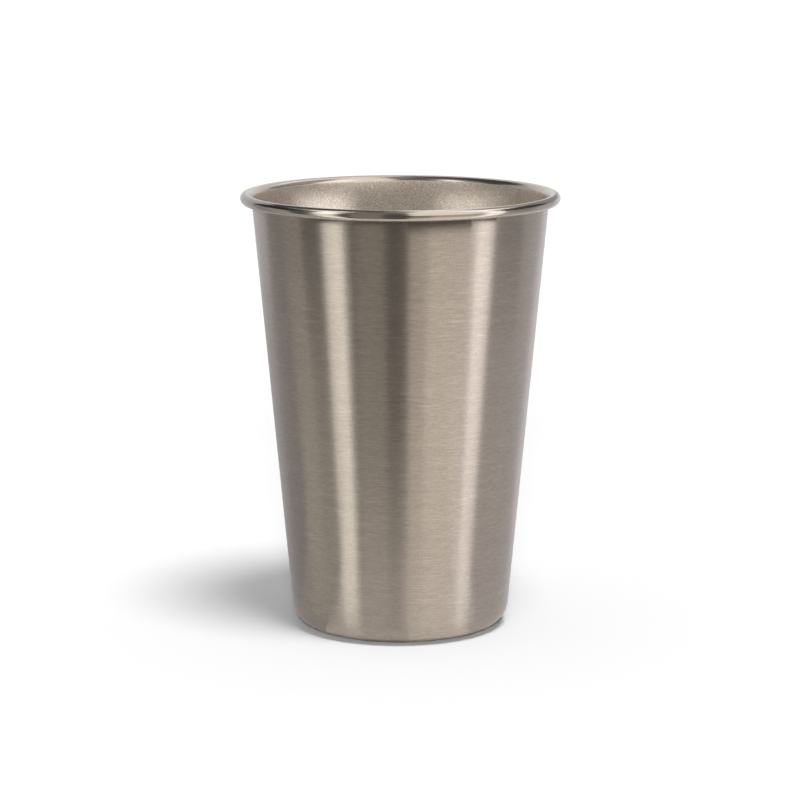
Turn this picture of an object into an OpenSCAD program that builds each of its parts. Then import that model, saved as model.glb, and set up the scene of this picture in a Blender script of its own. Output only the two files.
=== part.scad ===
// Tapered single-wall steel cup with a rolled rim.
// The cup stands on z = 0 and its axis is z. Lengths are in millimetres, angles in degrees.
// Every piece is bent sheet, so each is drawn as a half section of strips and bends and then revolved.

/* [Cup] */
// Height from the table to the top of the rim
cup_height = 122.5; // [90:0.5:150]
// Outside diameter of the rolled rim
rim_diameter = 89; // [80:0.5:110]
// Diameter at which the straight wall, carried on down, would meet the table
foot_diameter = 60; // [50:0.5:70]

/* [Sheet] */
// Thickness of the steel sheet
sheet = 0.5; // [0.4:0.05:0.7]

/* [Rolled rim] */
// Height of the curl, from its underside to its crown
curl_diameter = 3; // [2.4:0.1:4.5]
// Clearance that the curl keeps from the wall behind it
tuck_gap = 0.15; // [0.12:0.01:0.4]
// How far the sheet curls on past the crown
curl_sweep = 245; // [190:5:255]

/* [Base] */
// Outside radius of the corner between the wall and the base
corner_radius = 6.5; // [5:0.5:10]
// Width of the flat ring that the cup stands on
standing_ring = 3.5; // [2:0.5:6]
// How far the middle of the base is pressed up
recess_depth = 1.2; // [0.8:0.1:2]

/* [Hidden] */
$fn = 128;

// Centres of bends are kept to whole microns, so that strips and bends meet on the same edge
micron = 0.001;
function to_micron(length) = round(length / micron) * micron;

// The two bends of the recess meet on a 3-4-5 slope, given as its run and its rise
slope_run_share = 0.8;
slope_rise_share = 0.6;
// A cutting wedge reaches past the bend that it cuts, in turns no wider than wedge_step
wedge_reach_share = 2;
wedge_step = 60;

// Rolled rim: the wide shoulder turns the wall out to the crown, then the tighter curl rolls under
curl_r = curl_diameter / 2;
shoulder_r = curl_r + sheet + tuck_gap;
crown_x = to_micron(rim_diameter / 2 - curl_r);
curl_centre = [crown_x, to_micron(cup_height - curl_r)];
shoulder_centre = [crown_x, to_micron(cup_height - shoulder_r)];
crown_angle = 90;

// Wall: its outside face starts on the foot circle and is tangent to the inside of the shoulder bend
foot_r = foot_diameter / 2;
foot_to_shoulder = shoulder_centre - [foot_r, 0];
lean = atan2(foot_to_shoulder.x, foot_to_shoulder.y)
     - asin((shoulder_r - sheet) / norm(foot_to_shoulder));
wall_outward = [cos(lean), -sin(lean)];

// Base: the corner bend is tangent to the wall's outside face and to the table
corner_centre = [to_micron(foot_r + corner_radius * (tan(lean) - 1 / cos(lean))), corner_radius];
table_angle = -90;

// Base recess: the sheet bends up off the table and then level again
ring_inner_x = corner_centre.x - standing_ring;
recess_bend_r = to_micron(recess_depth / (1 - slope_rise_share) / 2);
recess_slope = [-slope_run_share, -slope_rise_share];
slope_angle = atan2(slope_run_share, slope_rise_share);
rise_centre = [ring_inner_x, to_micron(sheet / 2) + recess_bend_r];
level_centre = rise_centre + 2 * recess_bend_r * recess_slope;
bend_outer_r = recess_bend_r + sheet / 2;
panel_z = level_centre.y + recess_bend_r - sheet / 2;

// A pie slice about the origin, from one angle round to another
module wedge(radius, from, to) {
    steps = ceil((to - from) / wedge_step);
    rim_points = [for (i = [0 : steps]) let (a = from + (to - from) * i / steps) radius * [cos(a), sin(a)]];
    polygon(concat([[0, 0]], rim_points));
}

// One bend of the sheet in section: outer_r is the radius of its outside face
module bend(centre, outer_r, from, to) {
    translate(centre)
        intersection() {
            difference() {
                circle(r = outer_r);
                circle(r = outer_r - sheet);
            }
            wedge(outer_r * wedge_reach_share, from, to);
        }
}

// A level strip of the sheet in section, with its underside at height z
module level_strip(from_x, to_x, z) {
    polygon([[from_x, z], [to_x, z], [to_x, z + sheet], [from_x, z + sheet]]);
}

// The straight tapered wall, cut square to the sheet where the corner and the shoulder bends begin
module cup_wall() {
    color("#8f877e")
        rotate_extrude()
            polygon([
                corner_centre + corner_radius * wall_outward,
                shoulder_centre - (shoulder_r - sheet) * wall_outward,
                shoulder_centre - shoulder_r * wall_outward,
                corner_centre + (corner_radius - sheet) * wall_outward
            ]);
}

// The lip: the shoulder bend up to the crown, and the hollow curl that tucks its edge in by the wall
module rolled_rim() {
    color("#b5b0a8")
        rotate_extrude()
            union() {
                bend(shoulder_centre, shoulder_r, crown_angle, 2 * crown_angle - lean);
                bend(curl_centre, curl_r, crown_angle - curl_sweep, crown_angle);
            }
}

// The pressed base: corner bend, standing ring, and the panel that is pressed up inside it
module base_dish() {
    color("#8f877e")
        rotate_extrude()
            union() {
                bend(corner_centre, corner_radius, table_angle, -lean);
                level_strip(ring_inner_x, corner_centre.x, 0);
                bend(rise_centre, bend_outer_r, table_angle - slope_angle, table_angle);
                bend(level_centre, bend_outer_r, crown_angle - slope_angle, crown_angle);
                level_strip(0, level_centre.x, panel_z);
            }
}

cup_wall();
rolled_rim();
base_dish();
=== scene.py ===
import math

import bmesh
import bpy
from mathutils import Matrix, Vector


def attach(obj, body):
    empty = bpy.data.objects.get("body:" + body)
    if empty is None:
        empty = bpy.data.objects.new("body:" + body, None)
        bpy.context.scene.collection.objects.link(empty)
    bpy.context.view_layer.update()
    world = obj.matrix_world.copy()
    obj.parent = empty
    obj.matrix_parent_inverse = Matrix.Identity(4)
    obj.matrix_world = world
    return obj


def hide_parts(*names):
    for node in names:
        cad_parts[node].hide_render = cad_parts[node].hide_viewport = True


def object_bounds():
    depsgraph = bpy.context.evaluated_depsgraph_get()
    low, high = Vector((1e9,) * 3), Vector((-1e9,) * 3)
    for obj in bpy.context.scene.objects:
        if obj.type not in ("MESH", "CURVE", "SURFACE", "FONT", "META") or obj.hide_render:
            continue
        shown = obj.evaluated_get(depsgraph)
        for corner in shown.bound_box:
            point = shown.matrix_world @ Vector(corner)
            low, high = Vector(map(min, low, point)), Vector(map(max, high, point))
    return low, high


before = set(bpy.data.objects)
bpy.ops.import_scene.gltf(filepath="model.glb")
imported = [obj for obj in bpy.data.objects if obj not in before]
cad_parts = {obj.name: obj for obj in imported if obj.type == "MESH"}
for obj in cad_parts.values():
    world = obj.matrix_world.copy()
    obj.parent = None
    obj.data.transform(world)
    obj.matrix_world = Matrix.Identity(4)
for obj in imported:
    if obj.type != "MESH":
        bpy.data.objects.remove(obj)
cad_low, cad_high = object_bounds()

# Sizes of the cup in metres: the frame gives its height and rim, and the rest is how its sheet is bent
CUP_HEIGHT = cad_high.z
RIM_RADIUS = round(cad_high.x, 5)
FOOT_RADIUS = 0.030
SHEET = 0.0005
CURL_RADIUS = 0.0015
TUCK_GAP = 0.00015
CURL_SWEEP = math.radians(245)
CORNER_RADIUS = 0.0065
STANDING_RING = 0.0035
RECESS_DEPTH = 0.0012
SLOPE_RUN_SHARE = 0.8
SLOPE_RISE_SHARE = 0.6
# How far up the shoulder bend the matt finish of the inside runs, before the polish begins
MATT_TURN = math.radians(22)

# Rolled rim: a wide shoulder turns the wall out to the crown, then a tighter curl rolls under
SHOULDER_RADIUS = CURL_RADIUS + SHEET + TUCK_GAP
crown_x = RIM_RADIUS - CURL_RADIUS
curl_centre = Vector((crown_x, CUP_HEIGHT - CURL_RADIUS))
shoulder_centre = Vector((crown_x, CUP_HEIGHT - SHOULDER_RADIUS))

# Wall: its outside face starts on the foot circle and runs into the inside of the shoulder bend
foot_to_shoulder = shoulder_centre - Vector((FOOT_RADIUS, 0))
LEAN = math.atan2(*foot_to_shoulder) - math.asin((SHOULDER_RADIUS - SHEET) / foot_to_shoulder.length)
wall_outward = Vector((math.cos(LEAN), -math.sin(LEAN)))

# Base: the corner bend runs from the wall on to the table, and the panel inside it is pressed up
corner_x = FOOT_RADIUS + CORNER_RADIUS * (math.tan(LEAN) - 1 / math.cos(LEAN))
corner_centre = Vector((corner_x, CORNER_RADIUS))
recess_bend = RECESS_DEPTH / (1 - SLOPE_RISE_SHARE) / 2
rise_centre = Vector((corner_x - STANDING_RING, SHEET / 2 + recess_bend))
level_centre = rise_centre - 2 * recess_bend * Vector((SLOPE_RUN_SHARE, SLOPE_RISE_SHARE))
SLOPE_ANGLE = math.atan2(SLOPE_RUN_SHARE, SLOPE_RISE_SHARE)
# The shoulder and the corner both bend the sheet between the line of the wall and the level
BEND_TO_LEVEL = math.radians(90) - LEAN

# How finely the pieces are made
ROUND_STEPS = 256
WALL_STEPS = 16
SHOULDER_STEPS = 20
CURL_STEPS = 60
CORNER_STEPS = 32
RECESS_STEPS = 12
PANEL_STEPS = 8
MERGE_REACH = 1e-7
CREASE_ANGLE = math.radians(40)
# A point well inside the cup: faces that look towards it are inside faces
INSIDE_POINT = Vector((0, 0, CUP_HEIGHT / 2))
# The map that finishes follow: u runs along the section of the sheet, v runs round the cup
FINISH_MAP = "OFBake"


def mark(bm, point):
    """Sets the first corner of a half section, which lies in the plane of x and z."""
    return bm.verts.new((point.x, 0, point.y))


def run_to(bm, corner, point, steps=1):
    """Runs the section straight on from a corner to a point, and gives the corner that it ends on."""
    start = corner.co.copy()
    end = Vector((point.x, 0, point.y))
    for step in range(1, steps + 1):
        ahead = bm.verts.new(start.lerp(end, step / steps))
        bm.edges.new((corner, ahead))
        corner = ahead
    return corner


def bend_round(bm, corner, centre, turn, steps):
    """Bends the section on from a corner round a centre, anticlockwise for a turn above zero."""
    arc = bmesh.ops.spin(
        bm, geom=[corner], cent=(centre.x, 0, centre.y), axis=(0, -1, 0), angle=turn, steps=steps)
    return next(item for item in arc["geom_last"] if isinstance(item, bmesh.types.BMVert))


def measure_section(bm):
    """Notes on each corner how far along the section it lies, as a share of the whole section."""
    along = bm.verts.layers.float.new("along_section")
    corners = list(bm.verts)
    reached = 0
    for behind, corner in zip(corners, corners[1:]):
        reached += (corner.co - behind.co).length
        corner[along] = reached
    for corner in corners:
        corner[along] /= reached
    return along


def lay_finish_map(bm, along):
    """Gives every face its place on the finish map."""
    finish_map = bm.loops.layers.uv.new(FINISH_MAP)
    for face in bm.faces:
        middle = face.calc_center_median()
        face_turn = math.atan2(middle.y, middle.x)
        for loop in face.loops:
            place = loop.vert.co
            on_axis = place.xy.length < MERGE_REACH
            turn = face_turn if on_axis else math.atan2(place.y, place.x)
            off_middle = (turn - face_turn + math.pi) % math.tau - math.pi
            loop[finish_map].uv = (loop.vert[along], (face_turn + off_middle) / math.tau + 0.5)


def revolve(bm):
    """Turns a section into a closed piece of the cup."""
    along = measure_section(bm)
    bmesh.ops.spin(
        bm, geom=bm.verts[:] + bm.edges[:], cent=(0, 0, 0), axis=(0, 0, 1),
        angle=math.tau, steps=ROUND_STEPS, use_merge=True)
    lay_finish_map(bm, along)
    bmesh.ops.remove_doubles(bm, verts=bm.verts[:], dist=MERGE_REACH)
    bmesh.ops.recalc_face_normals(bm, faces=bm.faces[:])
    for face in bm.faces:
        face.smooth = True
    for edge in bm.edges:
        edge.smooth = edge.calc_face_angle(0) < CREASE_ANGLE


def looks_inside(face):
    """True for a face that a drink would touch."""
    return face.normal.dot(INSIDE_POINT - face.calc_center_median()) > 0


def add_piece(bm, name, node, finishes):
    """Makes a piece of the cup, which stands for a node and takes its finish from a slot."""
    mesh = bpy.data.meshes.new(name)
    bm.to_mesh(mesh)
    bm.free()
    for finish in finishes:
        mesh.materials.append(finish)
    piece = bpy.data.objects.new(name, mesh)
    bpy.context.scene.collection.objects.link(piece)
    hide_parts(node)
    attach(piece, "root")
    return piece


def make_cup_wall(outside, inside):
    """The straight tapered wall, cut square to the sheet at both ends."""
    bm = bmesh.new()
    foot_outside = corner_centre + CORNER_RADIUS * wall_outward
    corner = mark(bm, foot_outside)
    corner = run_to(bm, corner, shoulder_centre - (SHOULDER_RADIUS - SHEET) * wall_outward, WALL_STEPS)
    corner = run_to(bm, corner, shoulder_centre - SHOULDER_RADIUS * wall_outward)
    corner = run_to(bm, corner, corner_centre + (CORNER_RADIUS - SHEET) * wall_outward, WALL_STEPS)
    run_to(bm, corner, foot_outside)
    revolve(bm)
    for face in bm.faces:
        face.material_index = int(looks_inside(face))
    return add_piece(bm, "cup_wall_sheet", "cup_wall", [outside, inside])


def make_rolled_rim(polished, inside):
    """The lip: the shoulder up to the crown, and the hollow curl that tucks its edge in by the wall."""
    bm = bmesh.new()
    wall_end = shoulder_centre - SHOULDER_RADIUS * wall_outward
    tucked = Vector((math.sin(CURL_SWEEP), math.cos(CURL_SWEEP)))
    corner = mark(bm, wall_end)
    corner = bend_round(bm, corner, shoulder_centre, -BEND_TO_LEVEL, SHOULDER_STEPS)
    corner = bend_round(bm, corner, curl_centre, -CURL_SWEEP, CURL_STEPS)
    corner = run_to(bm, corner, curl_centre + (CURL_RADIUS - SHEET) * tucked)
    corner = bend_round(bm, corner, curl_centre, CURL_SWEEP, CURL_STEPS)
    corner = bend_round(bm, corner, shoulder_centre, BEND_TO_LEVEL, SHOULDER_STEPS)
    run_to(bm, corner, wall_end)
    revolve(bm)
    matt_edge = shoulder_centre.y + SHOULDER_RADIUS * math.sin(MATT_TURN)
    for face in bm.faces:
        matt = looks_inside(face) and face.calc_center_median().z < matt_edge
        face.material_index = int(matt)
    return add_piece(bm, "rolled_rim_curl", "rolled_rim", [polished, inside])


def make_base_dish(outside, inside, underside):
    """The pressed base: panel, recess, standing ring and corner, out over the inside and back under."""
    bm = bmesh.new()
    inner_bend = recess_bend - SHEET / 2
    outer_bend = recess_bend + SHEET / 2
    corner = mark(bm, Vector((0, level_centre.y + outer_bend)))
    corner = run_to(bm, corner, Vector((level_centre.x, level_centre.y + outer_bend)), PANEL_STEPS)
    corner = bend_round(bm, corner, level_centre, -SLOPE_ANGLE, RECESS_STEPS)
    corner = bend_round(bm, corner, rise_centre, SLOPE_ANGLE, RECESS_STEPS)
    corner = run_to(bm, corner, Vector((corner_centre.x, SHEET)))
    corner = bend_round(bm, corner, corner_centre, BEND_TO_LEVEL, CORNER_STEPS)
    corner = run_to(bm, corner, corner_centre + CORNER_RADIUS * wall_outward)
    corner = bend_round(bm, corner, corner_centre, -BEND_TO_LEVEL, CORNER_STEPS)
    corner = run_to(bm, corner, Vector((rise_centre.x, 0)))
    corner = bend_round(bm, corner, rise_centre, -SLOPE_ANGLE, RECESS_STEPS)
    corner = bend_round(bm, corner, level_centre, SLOPE_ANGLE, RECESS_STEPS)
    run_to(bm, corner, Vector((0, level_centre.y + inner_bend)), PANEL_STEPS)
    revolve(bm)
    for face in bm.faces:
        under = face.calc_center_median().xy.length < corner_centre.x
        face.material_index = 1 if looks_inside(face) else 2 if under else 0
    return add_piece(bm, "base_dish_pressing", "base_dish", [outside, inside, underside])


# Finishes: colour and roughness of the steel, and how far its highlights stretch along the section
BRUSHED_STEEL = (0.42, 0.36, 0.3)
POLISHED_STEEL = (0.43, 0.38, 0.325)
BLASTED_STEEL = (0.575, 0.5, 0.42)
BRUSHED_ROUGHNESS = (0.31, 0.37)
POLISHED_ROUGHNESS = (0.15, 0.2)
BLASTED_ROUGHNESS = (0.38, 0.46)
SATIN_ROUGHNESS = (0.3, 0.38)
BRUSHED_STRETCH = 1.0
SATIN_STRETCH = 0.9
# Patterns: marks a metre along x, y and z, and how many layers of finer detail lie on them
STREAKS = ((400, 400, 4800), 4)
NICKS = ((2600, 2600, 5200), 1)
PASSES = ((45, 45, 520), 1)
SCRATCHES = ((130, 130, 5200), 0)
SCRATCH_TILT = (0.05, 0.03, 0)
BLAST_GRAIN = ((5600, 5600, 5600), 1)
MOTTLING = ((230, 230, 230), 2)
POLISH_LINES = ((60, 60, 7000), 2)
# Rings a metre out from the axis, and layers of detail
TURNED_RINGS = (3600, 3)
# What each pattern does to the colour, from its darkest to its lightest marks
STREAK_SHADE = (0.86, 1.14)
PASS_SHADE = (0.97, 1.03)
NICK_SHADE = (0.9, 1.1)
GRAIN_SHADE = (0.4, 1.6)
MOTTLED_SHADE = (0.96, 1.04)
POLISH_SHADE = (0.94, 1.06)
RING_SHADE = (0.88, 1.12)
SATIN_SHADE = (0.95, 1.05)
# The peaks of the noise that count as scratches, and the light that a scratch adds
SCRATCH_PEAKS = (0.7, 0.78)
SCRATCH_LIGHT = (0, 0.22)
# How strongly each pattern stands up, and how high in metres
STREAK_BUMP = (0.5, 0.00003)
GRAIN_BUMP = (0.6, 0.0001)
POLISH_BUMP = (0.3, 0.000005)
RING_BUMP = (0.4, 0.00002)


def add_node(tree, kind, inputs=None, **settings):
    """A node of one kind, with its settings and some of its inputs given by name."""
    made = tree.nodes.new(kind)
    for name, value in settings.items():
        setattr(made, name, value)
    for name, value in (inputs or {}).items():
        made.inputs[name].default_value = value
    return made


def add_noise(tree, marks, detail, tilt=(0, 0, 0)):
    """A noise on the piece's own coordinates, with so many marks a metre along x, y and z."""
    place = add_node(tree, "ShaderNodeTexCoord")
    mapping = add_node(tree, "ShaderNodeMapping", {"Scale": marks, "Rotation": tilt})
    noise = add_node(tree, "ShaderNodeTexNoise", {"Scale": 1.0, "Detail": detail})
    tree.links.new(place.outputs["Object"], mapping.inputs["Vector"])
    tree.links.new(mapping.outputs["Vector"], noise.inputs["Vector"])
    return noise.outputs["Fac"]


def add_rings(tree, rings, detail):
    """A noise that changes only with the distance from the cup's axis, with so many rings a metre."""
    place = add_node(tree, "ShaderNodeTexCoord")
    flat = add_node(tree, "ShaderNodeMapping", {"Scale": (1, 1, 0)})
    radius = add_node(tree, "ShaderNodeVectorMath", operation="LENGTH")
    noise = add_node(
        tree, "ShaderNodeTexNoise", {"Scale": rings, "Detail": detail}, noise_dimensions="1D")
    tree.links.new(place.outputs["Object"], flat.inputs["Vector"])
    tree.links.new(flat.outputs["Vector"], radius.inputs["Vector"])
    tree.links.new(radius.outputs["Value"], noise.inputs["W"])
    return noise.outputs["Fac"]


def spread(tree, value, low, high, least=0.3, most=0.7):
    """Maps a value that runs from least to most, as a noise does, to the range from low to high."""
    made = add_node(
        tree, "ShaderNodeMapRange",
        {"From Min": least, "From Max": most, "To Min": low, "To Max": high})
    tree.links.new(value, made.inputs["Value"])
    return made.outputs["Result"]


def combine(tree, operation, first, second):
    """One value from two, such as their sum or product."""
    made = add_node(tree, "ShaderNodeMath", operation=operation)
    tree.links.new(first, made.inputs[0])
    tree.links.new(second, made.inputs[1])
    return made.outputs["Value"]


def tint(tree, steel, colour, factor):
    """Scales a steel's colour by a factor that varies over the surface."""
    made = add_node(tree, "ShaderNodeVectorMath", operation="SCALE")
    made.inputs[0].default_value = colour
    tree.links.new(factor, made.inputs["Scale"])
    tree.links.new(made.outputs["Vector"], steel.inputs["Base Color"])


def roughen(tree, steel, value, roughness):
    """Lets the roughness follow a pattern, between two limits."""
    tree.links.new(spread(tree, value, *roughness), steel.inputs["Roughness"])


def raise_grain(tree, steel, height, strength, depth):
    """Lets a pattern stand up from the surface by a depth in metres."""
    bump = add_node(tree, "ShaderNodeBump", {"Strength": strength, "Distance": depth})
    tree.links.new(height, bump.inputs["Height"])
    tree.links.new(bump.outputs["Normal"], steel.inputs["Normal"])


def new_steel(name, stretch=0.0):
    """A bare metal. Its highlights stretch along the section of the sheet by an amount from 0 to 1."""
    material = bpy.data.materials.new(name)
    material.use_nodes = True
    tree = material.node_tree
    steel = tree.nodes["Principled BSDF"]
    steel.inputs["Metallic"].default_value = 1
    if stretch:
        steel.inputs["Anisotropic"].default_value = stretch
        tangent = add_node(tree, "ShaderNodeTangent", direction_type="UV_MAP", uv_map=FINISH_MAP)
        tree.links.new(tangent.outputs["Tangent"], steel.inputs["Tangent"])
    return material, tree, steel


def brushed_outside():
    """Steel brushed round and round: short fine streaks, and highlights drawn out up the wall."""
    material, tree, steel = new_steel("brushed_steel", BRUSHED_STRETCH)
    streaks = add_noise(tree, *STREAKS)
    nicks = add_noise(tree, *NICKS)
    passes = add_noise(tree, *PASSES)
    scratches = add_noise(tree, *SCRATCHES, SCRATCH_TILT)
    streak_shade = spread(tree, streaks, *STREAK_SHADE)
    shade = combine(tree, "MULTIPLY", streak_shade, spread(tree, passes, *PASS_SHADE))
    shade = combine(tree, "MULTIPLY", shade, spread(tree, nicks, *NICK_SHADE))
    shade = combine(tree, "ADD", shade, spread(tree, scratches, *SCRATCH_LIGHT, *SCRATCH_PEAKS))
    tint(tree, steel, BRUSHED_STEEL, shade)
    roughen(tree, steel, streaks, BRUSHED_ROUGHNESS)
    raise_grain(tree, steel, streaks, *STREAK_BUMP)
    return material


def blasted_inside():
    """Steel with the fine matt grain of the inside."""
    material, tree, steel = new_steel("blasted_steel")
    grain = add_noise(tree, *BLAST_GRAIN)
    mottling = add_noise(tree, *MOTTLING)
    grain_shade = spread(tree, grain, *GRAIN_SHADE)
    shade = combine(tree, "MULTIPLY", grain_shade, spread(tree, mottling, *MOTTLED_SHADE))
    tint(tree, steel, BLASTED_STEEL, shade)
    roughen(tree, steel, mottling, BLASTED_ROUGHNESS)
    raise_grain(tree, steel, grain, *GRAIN_BUMP)
    return material


def polished_rim():
    """Steel polished bright along the lip, with the faint lines that the polishing wheel leaves."""
    material, tree, steel = new_steel("polished_steel")
    lines = add_noise(tree, *POLISH_LINES)
    mottling = add_noise(tree, *MOTTLING)
    tint(tree, steel, POLISHED_STEEL, spread(tree, lines, *POLISH_SHADE))
    roughen(tree, steel, mottling, POLISHED_ROUGHNESS)
    raise_grain(tree, steel, lines, *POLISH_BUMP)
    return material


def satin_underside():
    """Steel turned on a lathe to a satin finish, with fine rings about the cup's axis."""
    material, tree, steel = new_steel("satin_steel", SATIN_STRETCH)
    rings = add_rings(tree, *TURNED_RINGS)
    mottling = add_noise(tree, *MOTTLING)
    ring_shade = spread(tree, rings, *RING_SHADE)
    shade = combine(tree, "MULTIPLY", ring_shade, spread(tree, mottling, *SATIN_SHADE))
    tint(tree, steel, BRUSHED_STEEL, shade)
    roughen(tree, steel, mottling, SATIN_ROUGHNESS)
    raise_grain(tree, steel, rings, *RING_BUMP)
    return material


brushed = brushed_outside()
blasted = blasted_inside()
make_cup_wall(brushed, blasted)
make_rolled_rim(polished_rim(), blasted)
make_base_dish(brushed, blasted, satin_underside())

# Studio: azimuths are in degrees from the front, where the camera stands, and grow to the right
FLOOR_SIZE = 12
FLOOR_DROP = 0.00005
FLOOR_COLOUR = (0.93, 0.93, 0.93, 1)
AMBIENT = 0.32
KEY_AZIMUTH = 30
KEY_ELEVATION = 71
KEY_ANGLE = 20
KEY_STRENGTH = 2.0
FILL_AZIMUTH = 0
FILL_ELEVATION = 20
FILL_ANGLE = 10
FILL_STRENGTH = 1.75

# A tent of cards stands round the cup and shows only in its reflections. Lengths are in metres
TENT_RADIUS = 0.115
TENT_HEIGHT = 0.35
CARD_STEPS = 24
# Heights at which the bands of standing cards meet
BELOW_LIP = 0.08
ABOVE_LIP = 0.135
SKY_FOOT = 0.2
# Radii at which the cards on the floor start and meet, and how high they lie
NEAR_RADIUS = 0.028
TABLE_RADIUS = 0.042
TABLE_HEIGHT = 0.0002
# Tints of the cards
WARM = (1, 0.97, 0.94)
PLAIN = (1, 1, 1)
FRESH = (0.97, 1, 1)
COOL = (1, 1, 1.06)
# Cards that lie on the floor: name, inner and outer radius, span in azimuth, level and tint
TABLES = [
    # The near cards round the foot put a painted light in the corner where the floor lies in shade,
    # dimmer on the left as a painted shadow
    ("left_foot_painted_light", NEAR_RADIUS, TABLE_RADIUS, -180, -50, 0.5, COOL),
    ("front_foot_painted_light", NEAR_RADIUS, TABLE_RADIUS, -50, 5, 0.85, PLAIN),
    ("key_foot_painted_light", NEAR_RADIUS, TABLE_RADIUS, 5, 45, 1.05, PLAIN),
    ("right_foot_painted_light", NEAR_RADIUS, TABLE_RADIUS, 45, 150, 0.8, COOL),
    ("rear_foot_painted_light", NEAR_RADIUS, TABLE_RADIUS, 150, 180, 0.65, COOL),
    ("left_rear_table", TABLE_RADIUS, TENT_RADIUS, -180, -95, 0.45, COOL),
    ("left_table", TABLE_RADIUS, TENT_RADIUS, -95, -49, 0.65, PLAIN),
    ("left_strip_table", TABLE_RADIUS, TENT_RADIUS, -49, -35.5, 1.55, FRESH),
    ("front_table", TABLE_RADIUS, TENT_RADIUS, -35.5, 0, 1.0, PLAIN),
    ("key_table", TABLE_RADIUS, TENT_RADIUS, 0, 44, 1.17, PLAIN),
    ("right_strip_table", TABLE_RADIUS, TENT_RADIUS, 44, 59.5, 1.5, COOL),
    ("right_table", TABLE_RADIUS, TENT_RADIUS, 59.5, 150, 0.75, COOL),
    ("rear_table", TABLE_RADIUS, TENT_RADIUS, 150, 180, 0.6, COOL),
]
# Cards that stand: name, span in azimuth, foot and top, level and tint
CARDS = [
    ("rear_left_card", -180, -160, 0, BELOW_LIP, 0.63, COOL),
    ("left_rear_card", -160, -120, 0, BELOW_LIP, 0.57, COOL),
    ("left_side_card", -120, -90, 0, BELOW_LIP, 0.46, COOL),
    ("left_rear_card_top", -154, -111, BELOW_LIP, SKY_FOOT, 0.72, COOL),
    ("rear_left_lip", -180, -154, BELOW_LIP, ABOVE_LIP, 0.72, COOL),
    ("rear_glow", 154, 206, ABOVE_LIP, SKY_FOOT, 1.0, PLAIN),
    ("left_side_lip", -111, -90, BELOW_LIP, ABOVE_LIP, 0.43, COOL),
    ("left_rear_sky", -180, -95, SKY_FOOT, TENT_HEIGHT, 0.1, COOL),
    ("left_dark", -111, -70, ABOVE_LIP, SKY_FOOT, 0.05, COOL),
    ("left_card", -90, -70, 0, BELOW_LIP, 0.68, PLAIN),
    ("left_card_lip", -90, -70, BELOW_LIP, ABOVE_LIP, 0.53, PLAIN),
    ("left_edge", -70, -53, 0, BELOW_LIP, 0.55, PLAIN),
    ("left_edge_top", -70, -53, BELOW_LIP, SKY_FOOT, 0.14, PLAIN),
    ("left_sky", -95, -70, SKY_FOOT, TENT_HEIGHT, 0.5, PLAIN),
    ("left_edge_sky", -70, -53, SKY_FOOT, TENT_HEIGHT, 2.8, PLAIN),
    ("left_strip", -53, -38, 0, BELOW_LIP, 2.0, FRESH),
    ("left_strip_middle", -53, -38, BELOW_LIP, ABOVE_LIP, 1.65, FRESH),
    ("left_strip_top", -53, -38, ABOVE_LIP, SKY_FOOT, 2.7, FRESH),
    ("left_strip_sky", -53, -38, SKY_FOOT, TENT_HEIGHT, 0.9, FRESH),
    ("front_left_dark", -38, -30, 0, TENT_HEIGHT, 0.08, WARM),
    ("front_left_flag", -30, -10, 0, TENT_HEIGHT, 0.38, WARM),
    ("front_flag", -10, 5.5, 0, TENT_HEIGHT, 0.14, WARM),
    ("key_edge", 5.5, 18, 0, BELOW_LIP, 0.9, WARM),
    ("key_low", 18, 48, 0, BELOW_LIP, 1.3, WARM),
    ("key_gap_edge", 5.5, 18, BELOW_LIP, ABOVE_LIP, 0.4, WARM),
    ("key_gap", 18, 48, BELOW_LIP, ABOVE_LIP, 0.75, WARM),
    ("key_box", 5.5, 48, ABOVE_LIP, TENT_HEIGHT, 1.65, WARM),
    ("right_gap", 48, 52, 0, TENT_HEIGHT, 0.9, PLAIN),
    ("right_strip", 52, 65.5, 0, TENT_HEIGHT, 2.3, COOL),
    ("right_card", 65.5, 95, 0, BELOW_LIP, 0.77, COOL),
    ("right_card_lip", 65.5, 95, BELOW_LIP, ABOVE_LIP, 0.45, COOL),
    ("right_rear_card", 95, 126, 0, ABOVE_LIP, 0.7, COOL),
    ("right_rear_edge", 126, 146, 0, ABOVE_LIP, 0.9, COOL),
    ("rear_right_edge", 146, 163, 0, ABOVE_LIP, 0.82, COOL),
    ("rear_right_card", 163, 180, 0, ABOVE_LIP, 0.73, COOL),
    ("right_dark", 65.5, 111, ABOVE_LIP, SKY_FOOT, 0.1, COOL),
    ("right_rear_dark", 111, 154, ABOVE_LIP, SKY_FOOT, 0.42, COOL),
    ("right_sky", 65.5, 95, SKY_FOOT, TENT_HEIGHT, 2.3, PLAIN),
    ("right_rear_sky", 95, 154, SKY_FOOT, TENT_HEIGHT, 0.6, PLAIN),
    ("rear_sky", 154, 180, SKY_FOOT, TENT_HEIGHT, 1.75, COOL),
]
# Dark cards close to the lip, seen only in the steel, which put a painted shade on the wall just below
# the bead: name, span in azimuth, radius, foot and top, level and tint
LIP_SHADE_CARDS = [
    ("lip_painted_shade_flag", 3, 29, 0.0428, 0.1168, 0.119, 0.03, WARM),
    ("lip_shade", -36, 40, 0.0422, 0.1183, 0.1193, 0.03, WARM),
]
# Glowing cards in the mouth of the cup, seen only in the steel, which put a painted glow and painted
# highlights on the inside wall: name, span in azimuth, radius, top, level and tint
MOUTH_PAINTED_GLOWS = [
    ("left_mouth_painted_glow", -161, -142, 0.0345, 0.1178, 1.75, COOL),
    ("right_mouth_painted_glow", 146, 165, 0.0345, 0.1178, 1.3, PLAIN),
    ("mouth_painted_glow", 138, 222, 0.0335, 0.1212, 0.42, WARM),
    ("front_left_mouth_painted_glow", -45, -22, 0.0345, 0.112, 0.8, PLAIN),
    ("front_mouth_painted_glow", -75, 75, 0.0335, 0.112, 0.3, WARM),
]
MOUTH_CARD_FOOT = 0.1
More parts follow.
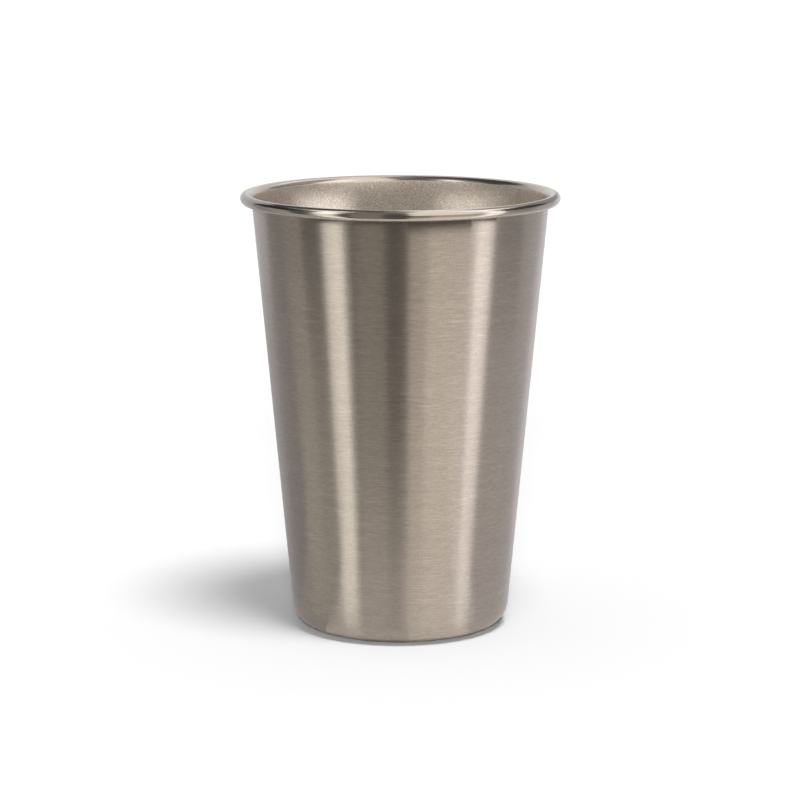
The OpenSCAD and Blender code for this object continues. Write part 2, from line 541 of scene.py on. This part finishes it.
# How the painted glow of the mouth cards runs on down the inside, dimmer with depth: how far they draw
# in, foot and share of the level
INSIDE_STEPS = [
    (0.002, 0.085, 0.75),
    (0.0035, 0.07, 0.55),
    (0.005, 0.055, 0.4),
    (0.0065, 0.04, 0.3),
    (0.0085, 0.02, 0.22),
]
# Cards that hang over the mouth: name, span in x and level
LIDS = [
    ("left_lid", -0.12, -0.02, 0.2),
    ("middle_lid", -0.02, 0.02, 0.4),
    ("right_lid", 0.02, 0.12, 1.7),
]


def stage_mesh(bm, name, material):
    """Makes a mesh of the studio."""
    mesh = bpy.data.meshes.new(name)
    bm.to_mesh(mesh)
    bm.free()
    mesh.materials.append(material)
    made = bpy.data.objects.new(name, mesh)
    bpy.context.scene.collection.objects.link(made)
    return made


def glow(name, level, colour):
    """A plain even light of one level and tint. The steel shows it but throws none on the floor."""
    material = bpy.data.materials.new(name)
    material.use_nodes = True
    tree = material.node_tree
    tree.nodes.clear()
    light = add_node(tree, "ShaderNodeEmission", {"Color": (*colour, 1)})
    path = add_node(tree, "ShaderNodeLightPath")
    strength = spread(tree, path.outputs["Diffuse Depth"], level, 0, least=0, most=1)
    tree.links.new(strength, light.inputs["Strength"])
    surface = add_node(tree, "ShaderNodeOutputMaterial")
    tree.links.new(light.outputs["Emission"], surface.inputs["Surface"])
    return material


def show_in_reflections_only(made):
    """Keeps a card of the studio out of the picture and off the floor."""
    made.visible_camera = False
    made.visible_diffuse = False
    made.visible_transmission = False
    made.visible_shadow = False


def sweep_card(name, near, far, start, end, level, colour):
    """A card swept round the cup from the line between two points, given as radius and height."""
    bm = bmesh.new()
    low = bm.verts.new((0, -near[0], near[1]))
    high = bm.verts.new((0, -far[0], far[1]))
    upright = bm.edges.new((low, high))
    bmesh.ops.rotate(
        bm, cent=(0, 0, 0), matrix=Matrix.Rotation(math.radians(start), 3, "Z"), verts=bm.verts[:])
    bmesh.ops.spin(
        bm, geom=[low, high, upright], cent=(0, 0, 0), axis=(0, 0, 1),
        angle=math.radians(end - start), steps=CARD_STEPS)
    show_in_reflections_only(stage_mesh(bm, name, glow(name, level, colour)))


def lay_table(name, near, far, start, end, level, colour):
    """A card that lies on the floor round the cup."""
    sweep_card(name, (near, TABLE_HEIGHT), (far, TABLE_HEIGHT), start, end, level, colour)


def stand_card(name, start, end, foot, top, level, colour):
    """A curved card that stands round the cup."""
    sweep_card(name, (TENT_RADIUS, foot), (TENT_RADIUS, top), start, end, level, colour)


def stand_lip_card(name, start, end, radius, foot, top, level, colour):
    """A curved card close to the lip, outside it or in the mouth of the cup, which puts a painted shade
    or a painted glow on the steel beside it.
    """
    sweep_card(name, (radius, foot), (radius, top), start, end, level, colour)


def hang_painted_mouth_glow(name, start, end, radius, top, level, colour):
    """A curved glowing card in the mouth of the cup, which runs on down the inside in dimmer steps: a
    painted glow on the inside wall that fades with depth.
    """
    foot = MOUTH_CARD_FOOT
    stand_lip_card(name, start, end, radius, foot, top, level, colour)
    for step, (draw_in, step_foot, share) in enumerate(INSIDE_STEPS, 1):
        stand_lip_card(
            f"{name}_{step}", start, end, radius - draw_in, step_foot, foot, share * level, colour)
        foot = step_foot


def hang_lid(name, left, right, level):
    """A level card over the mouth of the cup."""
    bm = bmesh.new()
    bmesh.ops.create_grid(bm, x_segments=1, y_segments=1, size=0.5)
    bmesh.ops.scale(bm, verts=bm.verts[:], vec=(right - left, 2 * TENT_RADIUS, 1))
    bmesh.ops.translate(bm, verts=bm.verts[:], vec=((left + right) / 2, 0, TENT_HEIGHT))
    show_in_reflections_only(stage_mesh(bm, name, glow(name, level, PLAIN)))


def seen_directly(tree):
    """1 for rays that show a surface to the camera, also by way of steel or glass, and else 0."""
    path = add_node(tree, "ShaderNodeLightPath")
    shown = combine(tree, "MAXIMUM", path.outputs["Is Camera Ray"], path.outputs["Is Glossy Ray"])
    return combine(tree, "MAXIMUM", shown, path.outputs["Is Transmission Ray"])


def lay_floor():
    """The pale floor, which keeps the cup's shadow."""
    bm = bmesh.new()
    bmesh.ops.create_grid(bm, x_segments=1, y_segments=1, size=FLOOR_SIZE / 2)
    bmesh.ops.translate(bm, verts=bm.verts[:], vec=(0, 0, -FLOOR_DROP))
    material = bpy.data.materials.new("pale_floor")
    material.use_nodes = True
    paint = material.node_tree.nodes["Principled BSDF"]
    paint.inputs["Base Color"].default_value = FLOOR_COLOUR
    paint.inputs["Roughness"].default_value = 1
    paint.inputs["Specular IOR Level"].default_value = 0
    stage_mesh(bm, "floor", material)


def light_world():
    """A dim even surround, white where the camera or the steel sees it."""
    world = bpy.data.worlds.new("surround")
    world.use_nodes = True
    bpy.context.scene.world = world
    tree = world.node_tree
    background = tree.nodes["Background"]
    background.inputs["Color"].default_value = (1, 1, 1, 1)
    strength = spread(tree, seen_directly(tree), AMBIENT, 1, least=0, most=1)
    tree.links.new(strength, background.inputs["Strength"])


def hang_lamp(name, azimuth, elevation, angle, strength):
    """A soft lamp that lights the floor. The cards stand for it in the steel."""
    lamp = bpy.data.lights.new(name, "SUN")
    lamp.energy = strength
    lamp.angle = math.radians(angle)
    made = bpy.data.objects.new(name, lamp)
    made.rotation_euler = (math.radians(90 - elevation), 0, math.radians(azimuth))
    made.visible_glossy = False
    bpy.context.scene.collection.objects.link(made)


# The camera's place in metres, its pitch in degrees, and its lens and sensor in millimetres
CAMERA_PLACE = (-0.0001, -0.8489, 0.2201)
CAMERA_PITCH = -10.44
CAMERA_LENS = 138.0
CAMERA_SENSOR = 36


def stand_camera():
    """The camera at the photograph's viewing angle."""
    data = bpy.data.cameras.new("camera")
    data.lens = CAMERA_LENS
    data.sensor_width = CAMERA_SENSOR
    camera = bpy.data.objects.new("camera", data)
    camera.location = CAMERA_PLACE
    camera.rotation_euler = (math.radians(90 + CAMERA_PITCH), 0, 0)
    bpy.context.scene.collection.objects.link(camera)
    bpy.context.scene.camera = camera


for table in TABLES:
    lay_table(*table)
for card in CARDS:
    stand_card(*card)
for lip_shade_card in LIP_SHADE_CARDS:
    stand_lip_card(*lip_shade_card)
for mouth_painted_glow in MOUTH_PAINTED_GLOWS:
    hang_painted_mouth_glow(*mouth_painted_glow)
for lid in LIDS:
    hang_lid(*lid)
lay_floor()
light_world()
hang_lamp("key", KEY_AZIMUTH, KEY_ELEVATION, KEY_ANGLE, KEY_STRENGTH)
hang_lamp("fill", FILL_AZIMUTH, FILL_ELEVATION, FILL_ANGLE, FILL_STRENGTH)
stand_camera()
bpy.context.scene.view_settings.view_transform = "Standard"
